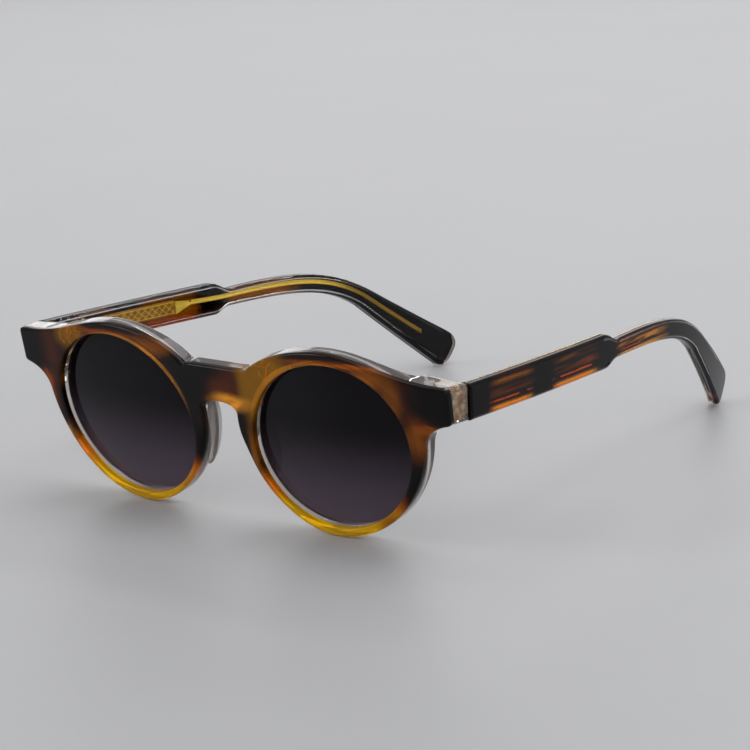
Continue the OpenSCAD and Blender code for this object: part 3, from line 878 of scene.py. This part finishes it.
def lens_face(bm, radius, share):
    """A disc of rings on one face of the lens, and the edges of its outer ring"""
    rows = [list(bmesh.ops.create_circle(bm, segments=LENS_SEGMENTS, radius=1.0)["verts"])]
    for _ in LENS_RINGS:
        rows.append(extrude_row(bm, rows[-1], closed=True))
    for row, ring_share in zip(rows, (1, *LENS_RINGS)):
        for index, vert in enumerate(row):
            point = opening_point(2 * math.pi * index / LENS_SEGMENTS)
            x = LENS_X + (point.x - LENS_X) * share * ring_share
            v = LENS_Z + (point.y - LENS_Z) * share * ring_share
            vert.co = lean_front(x, lens_surface(x, v, radius), v)
    bmesh.ops.poke(bm, faces=bmesh.ops.contextual_create(bm, geom=rows[-1])["faces"])
    return [bm.edges.get(pair) for pair in zip(rows[0], rows[0][1:] + rows[0][:1])]


def build_lens(name, side):
    bm = bmesh.new()
    inside = 1 - BLUNT / LENS_HALF_W
    rims = lens_face(bm, LENS_R, inside) + lens_face(bm, LENS_R - LENS_T, inside)
    walls = bmesh.ops.bridge_loops(bm, edges=rims)["edges"]
    cut = bmesh.ops.subdivide_edges(bm, edges=walls, cuts=2)
    grown = (LENS_HALF_W + LENS_REACH) / (LENS_HALF_W * inside)
    middle = lean_front(LENS_X, lens_surface(LENS_X, LENS_Z, LENS_R), LENS_Z)
    for vert in only_verts(cut["geom_inner"]):
        vert.co.x = middle.x + (vert.co.x - middle.x) * grown
        vert.co.z = middle.z + (vert.co.z - middle.z) * grown
    finish_piece(bm, name + "_tinted_lens", [name + "_lens"], "front", gradient_tint, side)


for name, side in SIDES:
    build_lens(name, side)

# %% [markdown]
# ## The nose pads
# Each pad is a small clear boat-shaped pillow, cemented behind the rim beside the nose. A sphere cut
# flat, stretched and turned has that shape, and its flat side becomes the seat.

# %% Build both nose pads
PAD_MIDDLE = (9.0, 21.6)
PAD_SIZE = (3.3, 10.2, 4.2)
PAD_TURN = math.radians(14)
PAD_SINK = 0.6
PAD_LEAN = 0.8


def build_nose_pad(name, side):
    bm = bmesh.new()
    bmesh.ops.create_uvsphere(bm, u_segments=56, v_segments=36, radius=1.0)
    bmesh.ops.bisect_plane(bm, geom=everything(bm), plane_co=(0, 0, 0), plane_no=(0, 0, -1),
                           clear_outer=True)
    bmesh.ops.holes_fill(bm, edges=[e for e in bm.edges if e.is_boundary], sides=0)
    for vert in bm.verts:
        across, along, up = (c * s for c, s in zip(vert.co, PAD_SIZE))
        across += PAD_LEAN * vert.co.z
        x = PAD_MIDDLE[0] + across * math.cos(PAD_TURN) - along * math.sin(PAD_TURN)
        v = PAD_MIDDLE[1] + across * math.sin(PAD_TURN) + along * math.cos(PAD_TURN)
        vert.co = bend_front(x, FRONT_T - PAD_SINK + up, v)
    finish_piece(bm, name + "_clear_pad", [name + "_nose_pad"], "front", hazy_clear, side)


for name, side in SIDES:
    build_nose_pad(name, side)

# %% [markdown]
# ## Drawing a temple
# A temple is drawn from its side as a length behind the endpiece and a height above the hinge, then
# bowed inwards round the head. Its two edges are rails with the same number of points, so a plain grid
# can be laid between them.

# %% Draw the rails of a temple
HINGE_Z = 38.1543
WIDE = 60.5
FALL = 2.45
HALF_H = 4.5
NECK_TOP = -0.6
NECK_BOTTOM = -5.4
NECK_S = 66.5
BEND = 104.0
TIP_S = 141.0
TIP_Z = -38.15
TIP_TOP = (TIP_S + 1.8, TIP_Z + 10.3)
TIP_LOW = (TIP_S - 3.5, TIP_Z + 1.7)
SPLAY = math.tan(math.radians(1.5))
BOW = 1660
TIP_BOW = 960
TIP_BOW_START = 94
BOW_SLANT = math.radians(20)
BUTT_GAP = 0.1546
BUTT_LENGTH = 6


def wide_middle(s):
    return -FALL * s / WIDE


def wide_edge(side):
    """The handles and the end of the straight edge above or below the wide part"""
    return [(s, wide_middle(s) + side * HALF_H) for s in (20, 40, WIDE)]


def top_rail():
    return chain(
        (0, HALF_H),
        (*wide_edge(1), 60),
        ((WIDE + 3.4, 1.9), (WIDE + 4.4, NECK_TOP + 0.2), (NECK_S + 1.6, NECK_TOP), 24),
        ((BEND - 8.7, NECK_TOP - 0.1), (BEND + 3.3, NECK_TOP - 2), (BEND + 18, NECK_TOP - 12.8), 80),
        ((BEND + 25, -18.26), (BEND + 32, -23.1), TIP_TOP, 30),
    )


def bottom_rail():
    low = wide_middle(WIDE) - HALF_H
    neck_end = (BEND + 10.5, NECK_BOTTOM - 9.9)
    return chain(
        (0, -HALF_H),
        (*wide_edge(-1)[:2], (WIDE + 0.3, low), 60),
        ((WIDE + 3, low - 0.1), (WIDE + 3.2, NECK_BOTTOM - 0.1), (NECK_S - 0.2, NECK_BOTTOM), 24),
        ((NECK_S + 22, NECK_BOTTOM - 0.7), (BEND - 0.7, NECK_BOTTOM - 1.3), neck_end, 80),
        ((BEND + 18, -22.2), (BEND + 26, -29.5), TIP_LOW, 30),
    )


def tip_end(rows):
    """The blunt round end of the temple, from its top edge to its bottom edge"""
    half = rows // 2
    return chain(
        TIP_TOP,
        ((TIP_S + 4.6, TIP_Z + 8.4), (TIP_S + 4.6, TIP_Z + 6.1), (TIP_S + 3.2, TIP_Z + 4.3), half),
        ((TIP_S + 1.0, TIP_Z + 1.2), (TIP_S - 1.2, TIP_Z - 1.4), TIP_LOW, rows - half),
    ) + [Vector(TIP_LOW)]


def bow_temple(depth, run, rise):
    """A flat place on the temple drawing, bowed round the head, in metres"""
    butt = BUTT_GAP - (TEMPLE_X - depth - BUTT_X) * math.tan(BUTT_SLANT)
    run += butt * max(0.0, 1 - run / BUTT_LENGTH)
    s = run - rise * math.tan(BOW_SLANT)
    slope = -SPLAY - 2 * s / BOW - 2 * max(0.0, s - TIP_BOW_START) / TIP_BOW
    m = slope / math.cos(BOW_SLANT)
    n = math.hypot(1, m)
    s -= depth * m / (n * math.cos(BOW_SLANT))
    outside = TEMPLE_X - s * SPLAY - s * s / BOW - max(0.0, s - TIP_BOW_START) ** 2 / TIP_BOW
    return Vector((outside - depth / n, run + END_BACK - MID_Y, rise + HINGE_Z)) * MM


ROWS = 12
TOP_RAIL = top_rail()
BOTTOM_RAIL = bottom_rail()
print("points along a temple:", len(TOP_RAIL), len(BOTTOM_RAIL))

# %% [markdown]
# ## The two sheets of a temple
# The tortoise sheet lies outside and the clear one inside, next to the head. Each is the same grid,
# given its own depth. Only the edges that a hand can touch are rounded, so that the two sheets meet in
# a clean line.

# %% Build the temple sheets
TEMPLE_T = 3.6
TEMPLE_FACE_T = 1.5


def temple_grid():
    """A flat grid laid between the two rails and ended with the round tip"""
    bm = bmesh.new()
    columns = len(TOP_RAIL)
    bmesh.ops.create_grid(bm, x_segments=columns, y_segments=ROWS, size=0.5)
    end = tip_end(ROWS)
    for vert in bm.verts:
        column = round((vert.co.x + 0.5) * columns)
        row = round((0.5 - vert.co.y) * ROWS)
        inner = column < columns
        place = TOP_RAIL[column].lerp(BOTTOM_RAIL[column], row / ROWS) if inner else end[row]
        vert.co = (0, place.x, place.y)
    return bm


def round_over(bm, edges, radius, segments):
    bmesh.ops.bevel(bm, geom=edges, offset=radius, offset_type="OFFSET", segments=segments,
                    profile=0.5, affect="EDGES", material=-1)


def build_temple_sheet(name, side, near, far, touched, radius, kind, node, material):
    bm = temple_grid()
    bmesh.ops.translate(bm, vec=(near, 0, 0), verts=bm.verts[:])
    thicken(bm, (far - near, 0, 0))
    bmesh.ops.recalc_face_normals(bm, faces=bm.faces[:])
    edges = []
    for edge in bm.edges:
        at_edge = all(abs(vert.co.x - touched) < 0.001 for vert in edge.verts)
        at_butt = all(vert.co.y < 0.001 for vert in edge.verts)
        if at_edge and not at_butt and edge.calc_face_angle(0) > 1.0:
            edges.append(edge)
    round_over(bm, edges, radius, 4)
    for vert in bm.verts:
        vert.co = bow_temple(*vert.co)
    finish_piece(bm, f"{name}_temple_{kind}_sheet", [f"{name}_temple_{node}"], f"{name}_temple",
                 material, side)


for name, side in SIDES:
    build_temple_sheet(name, side, 0, TEMPLE_FACE_T, 0, 0.9, "tortoise", "outer_layer",
                       temple_tortoise)
    build_temple_sheet(name, side, TEMPLE_FACE_T - CEMENT, TEMPLE_T, TEMPLE_T, 1.1, "clear", "inner_layer",
                       temple_clear)

# %% [markdown]
# ## The core wires
# A hot wire is shot into each temple to stiffen it, and it shows through the clear inner sheet. Its
# front is a flat plate with a finely engraved border and lattice, and behind the plate it narrows to a
# plain wire. One grid makes both, and pushing in chosen faces engraves the plate. The engraving, the
# lowest rows and the wire catch more light than the flat of the plate, so they get the brighter gold.

# %% Build the core wires
PLATE_L = 47.0
PLATE_HALF_H = 2.05
PLATE_LOW = 1.9
PLATE_COLUMNS = 180
TAPER_L = 5.5
TAPER_COLUMNS = 16
PLATE_MIDDLE_DEPTH = 2.2
PLATE_HALF_T = 0.4
WIRE_HALF = 0.6
WIRE_HALF_T = 0.5
WIRE_END = (134.2, -27.2)
CORE_START = 1.2
CORE_ROWS = 20
LATTICE_EVERY = 10
LATTICE_ROWS = 7
BORDER_ROWS = (7.2, 8.2)
ENGRAVED = 0.08
BRIGHT_BELOW = 1.3


def core_rails():
    """Middle line and half height of the core, from its plate to the end of its wire"""
    line = []
    for i in range(PLATE_COLUMNS):
        s = CORE_START + (PLATE_L - CORE_START) * i / PLATE_COLUMNS
        line.append((Vector((s, wide_middle(s) - PLATE_LOW)), PLATE_HALF_H))
    for i in range(TAPER_COLUMNS):
        share = i / TAPER_COLUMNS
        s = PLATE_L + TAPER_L * share
        half = PLATE_HALF_H + (WIRE_HALF - PLATE_HALF_H) * share
        line.append((Vector((s, wide_middle(s) - PLATE_LOW * (1 - share))), half))
    wire = chain(
        (PLATE_L + TAPER_L, wide_middle(PLATE_L + TAPER_L)),
        ((56, -2.4), (60, -2.7), (NECK_S - 3, -2.9), 10),
        ((NECK_S - 2, -2.95), (NECK_S - 1, -2.98), (NECK_S, -3.0), 4),
        ((BEND - 12, -3.5), (BEND + 1.3, -4.7), (BEND + 13.2, -13.6), 30),
        ((BEND + 17.8, -17.3), (BEND + 22.4, -21.0), WIRE_END, 12),
    )
    return line + [(point, WIRE_HALF) for point in wire + [Vector(WIRE_END)]]


def is_engraved(column, row):
    """Whether a face of the plate lies in the border or in the lattice"""
    from_middle = abs(row - CORE_ROWS / 2 + 0.5)
    in_border = BORDER_ROWS[0] < from_middle < BORDER_ROWS[1]
    crossing = 0 in ((column + row) % LATTICE_EVERY, (column - row) % LATTICE_EVERY)
    return 3 < column < PLATE_COLUMNS - 2 and (in_border or (crossing and from_middle < LATTICE_ROWS))


def flat_core():
    """The core before it is bowed, with the faces to engrave marked"""
    line = core_rails()
    columns = len(line) - 1
    bm = bmesh.new()
    bmesh.ops.create_grid(bm, x_segments=columns, y_segments=CORE_ROWS, size=0.5)
    thicken(bm, (0, 0, 1))
    marked = bm.faces.layers.int.new("engraved")
    for face in bm.faces:
        middle = face.calc_center_median()
        column = int((middle.x + 0.5) * columns)
        row = int((middle.y + 0.5) * CORE_ROWS)
        if abs(face.normal.z) >= 0.9 and is_engraved(column, row):
            face[marked] = 1
    for vert in bm.verts:
        column = round((vert.co.x + 0.5) * columns)
        across = (0.5 - vert.co.y) * 2
        top_side = 1 if vert.co.z > 0.5 else -1
        point, half = line[column]
        along = (line[min(columns, column + 1)][0] - line[max(0, column - 1)][0]).normalized()
        place = point + Vector((-along.y, along.x)) * half * across
        roundness = smooth_step(column, PLATE_COLUMNS, PLATE_COLUMNS + TAPER_COLUMNS)
        crown = math.sqrt(max(0.0, 1 - across * across)) * WIRE_HALF_T
        thick = PLATE_HALF_T * (1 if abs(across) < 0.99 else 0.7) * (1 - roundness) + crown * roundness
        vert.co = (PLATE_MIDDLE_DEPTH + top_side * thick, place.x, place.y)
    bm.normal_update()
    return bm


def build_core_wire(name, side):
    bm = flat_core()
    marked = bm.faces.layers.int["engraved"]
    faces = [face for face in bm.faces if face[marked]]
    bmesh.ops.inset_region(bm, faces=faces, thickness=0.02, depth=-ENGRAVED, use_even_offset=True)
    bmesh.ops.remove_doubles(bm, verts=bm.verts[:], dist=MEETING)
    for face in bm.faces:
        middle = face.calc_center_median()
        below = middle.z < wide_middle(middle.y) - PLATE_LOW - BRIGHT_BELOW
        if face[marked] or below or middle.y > PLATE_L:
            face.material_index = 1
    for vert in bm.verts:
        vert.co = bow_temple(*vert.co)
    core = finish_piece(bm, name + "_engraved_core_wire", [name + "_core_wire"], name + "_temple",
                        core_gold, side)
    core.data.materials.append(bright_gold)


for name, side in SIDES:
    build_core_wire(name, side)

# %% [markdown]
# ## The hinges and their screws
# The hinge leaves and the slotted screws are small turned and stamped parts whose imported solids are
# already right. They keep their shape, get the gold-coloured metal, and a small bevel takes the razor
# edge off, because a real stamped edge always catches a line of light.

# %% Finish the hinge parts
EDGE_BREAK = 0.06 * MM


def finish_hinge_part(node):
    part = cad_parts[node]
    part.data.materials.clear()
    part.data.materials.append(gold_metal)
    part.modifiers.new("join_corners", "WELD").merge_threshold = 0.001 * MM
    soften = part.modifiers.new("broken_edge", "BEVEL")
    soften.width = EDGE_BREAK
    soften.segments = 2
    soften.limit_method = "ANGLE"
    soften.angle_limit = math.radians(50)


for name, side in SIDES:
    for part in ("front_hinge_leaf", "hinge_screw", "temple_hinge_leaf"):
        finish_hinge_part(f"{name}_{part}")
    print(name, "hinge finished")

# %% [markdown]
# ## The anchors in the endpieces
# Through the clear side of each endpiece the anchors of the hinge show as a crumpled, champagne-coloured
# lump that fills the block almost completely. A cube that is bevelled, cut into small faces and pushed
# about by smooth noise has that crumpled look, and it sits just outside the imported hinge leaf.

# %% Build the crumpled anchors
ANCHOR_MIDDLE = Vector((69.75, -69.9, 37.95))
ANCHOR_SIZE = (2.5, 4.3, 6.8)
CRUMPLE = 0.7
CRUMPLE_SIZE = 1.7
FINER = 2.3


def build_anchor(name, side):
    bm = bmesh.new()
    bmesh.ops.create_cube(bm, size=1.0)
    bmesh.ops.scale(bm, vec=ANCHOR_SIZE, verts=bm.verts[:])
    round_over(bm, bm.edges[:], 0.4, 2)
    long_edges = [e for e in bm.edges if e.calc_length() > 1.0]
    bmesh.ops.subdivide_edges(bm, edges=long_edges, cuts=15, use_grid_fill=True)
    bm.normal_update()
    pushes = []
    for vert in bm.verts:
        fine = abs(noise.noise(vert.co * FINER / CRUMPLE_SIZE))
        folded = abs(noise.noise(vert.co / CRUMPLE_SIZE)) + 0.5 * fine
        pushes.append(vert.normal * (folded - 0.35) * CRUMPLE)
    for vert, push in zip(bm.verts, pushes):
        vert.co = (vert.co + push + ANCHOR_MIDDLE) * MM
    finish_piece(bm, name + "_crumpled_anchor", [], "front", champagne, side)


for name, side in SIDES:
    build_anchor(name, side)

# %% [markdown]
# ## The table and the light
# A plain pale table with a large soft lamp overhead and a pale surround is enough: polished acetate
# shows its shape by what it mirrors. A low lamp behind sends light through the yellow lower rims. The
# surround also has to be there for the clear sheets, which take all their tone from what is behind.

# %% Lay the table and hang the lamps
def table_material():
    material, tree, shader = new_material("pale_table")
    tone = blend_colour(tree, cloudy(tree, object_place(tree), 90), (0.42, 0.42, 0.43), (0.45, 0.45, 0.46))
    fill(tree, shader, {"Base Color": tone, "Roughness": 0.5})
    return material


bm = bmesh.new()
bmesh.ops.create_grid(bm, x_segments=1, y_segments=1, size=3.0)
table = mesh_object(bm, "table", table_material())

world = bpy.data.worlds.new("surround")
bpy.context.scene.world = world
world.use_nodes = True
backdrop = world.node_tree.nodes["Background"]
fill(world.node_tree, backdrop, {"Color": (0.82, 0.83, 0.85), "Strength": 0.52})


def hang_lamp(name, place, size, power, aim=(0, 0, 0.02)):
    """A soft rectangular lamp that looks at the glasses"""
    lamp_data = bpy.data.lights.new(name, "AREA")
    lamp_data.shape = "RECTANGLE"
    lamp_data.size, lamp_data.size_y = size
    lamp_data.energy = power
    lamp = add_object(name, lamp_data)
    lamp.location = place
    lamp.rotation_mode = "QUATERNION"
    lamp.rotation_quaternion = (Vector(place) - Vector(aim)).to_track_quat("Z", "Y")


LAMPS = [
    ("overhead", (0.1, 0.2, 1.1), (1.2, 0.8), 5.2, (0, 0, 0)),
    ("front_left", (-0.9, -0.9, 0.7), (0.5, 0.8), 3.5),
    ("side_right", (1.2, 0.2, 0.5), (0.4, 0.7), 1.7),
    ("front_right", (0.9, -1.1, 0.5), (0.6, 0.4), 2.5),
    ("high_strip", (0.0, 0.9, 0.9), (1.2, 0.05), 2.0),
    ("low_behind", (-0.75, 0.95, 0.30), (1.1, 0.4), 2.0),
    ("front_strip", (0.5, -1.0, 0.9), (0.05, 0.8), 1.5),
]
for lamp_settings in LAMPS:
    hang_lamp(*lamp_settings)

bpy.context.scene.view_settings.view_transform = "Standard"
print("lamps:", len(LAMPS))
